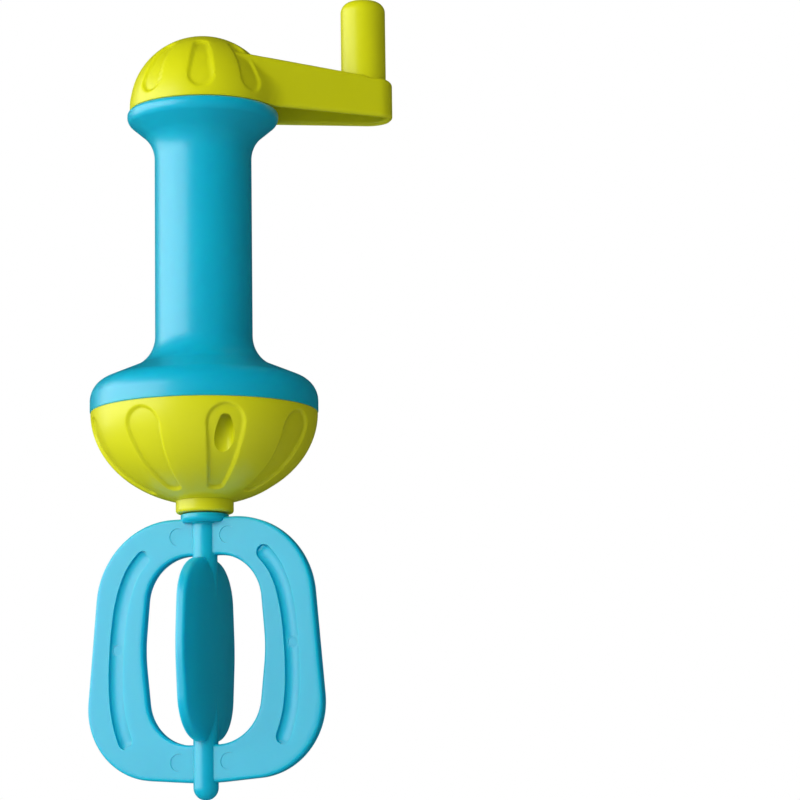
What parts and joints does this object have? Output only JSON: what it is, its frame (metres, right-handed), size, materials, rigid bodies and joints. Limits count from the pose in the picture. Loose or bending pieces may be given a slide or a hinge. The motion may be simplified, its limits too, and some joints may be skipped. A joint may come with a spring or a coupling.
{
  "type": "egg beater",
  "caption": "Hand-cranked toy egg beater: a crank on top turns a geared beater under a round bowl, about one vertical axis.",
  "frame": {"origin": "middle of the grip tube, on the axis that the crank and the beater turn about", "axes": "+Z along the spin axis towards the crank, which is the longest extent; +X across the beater's flat blade at rest; +Y square to the blade, along its vane"},
  "size_m": [0.0962, 0.0805, 0.2697],
  "materials": {
    "blue_plastic": "satin moulded plastic",
    "lime_plastic": "satin moulded plastic",
    "white_nylon": "natural nylon",
    "grey_acetal": "dark acetal",
    "steel": "stainless steel",
    "bronze": "sintered bronze"
  },
  "bodies": {
    "housing": {"handle_shell": "blue_plastic", "top_plate": "white_nylon", "upper_bush": "bronze", "bowl_shell": "lime_plastic", "lower_bush": "bronze", "ring_gear": "white_nylon", "gearbox_plate": "white_nylon", "gearbox_screws": "steel"},
    "crank": {"crank_handle": "lime_plastic", "top_washer": "white_nylon", "drive_shaft": "grey_acetal", "shaft_clip": "steel", "planet_carrier": "grey_acetal", "middle_bush": "bronze", "planet_pins": "steel", "carrier_plate": "grey_acetal", "carrier_screws": "steel"},
    "planet_1": {"planet_gear_1": "white_nylon"},
    "planet_2": {"planet_gear_2": "white_nylon"},
    "planet_3": {"planet_gear_3": "white_nylon"},
    "beater": {"beater": "blue_plastic", "beater_shaft": "steel", "sun_gear": "white_nylon", "beater_clip": "steel", "neck_washer": "white_nylon"}
  },
  "joints": [
    {"name": "crank_spin", "type": "hinge", "parent": "housing", "child": "crank", "pos_m": [0, 0, 0.03], "axis": [0, 0, 1], "continuous": true},
    {"name": "planet_1_spin", "type": "hinge", "parent": "crank", "child": "planet_1", "pos_m": [0.01299, 0.0075, -0.0589], "axis": [0, 0, 1], "continuous": true},
    {"name": "planet_2_spin", "type": "hinge", "parent": "crank", "child": "planet_2", "pos_m": [-0.01299, 0.0075, -0.0589], "axis": [0, 0, 1], "continuous": true},
    {"name": "planet_3_spin", "type": "hinge", "parent": "crank", "child": "planet_3", "pos_m": [0, -0.015, -0.0589], "axis": [0, 0, 1], "continuous": true},
    {"name": "beater_spin", "type": "hinge", "parent": "housing", "child": "beater", "pos_m": [0, 0, -0.08], "axis": [0, 0, 1], "continuous": true}
  ],
  "couplings": [
    {"joint": "beater_spin", "follows": "crank_spin", "ratio": 5},
    {"joint": "planet_1_spin", "follows": "crank_spin", "ratio": -2.6667},
    {"joint": "planet_2_spin", "follows": "crank_spin", "ratio": -2.6667},
    {"joint": "planet_3_spin", "follows": "crank_spin", "ratio": -2.6667}
  ]
}
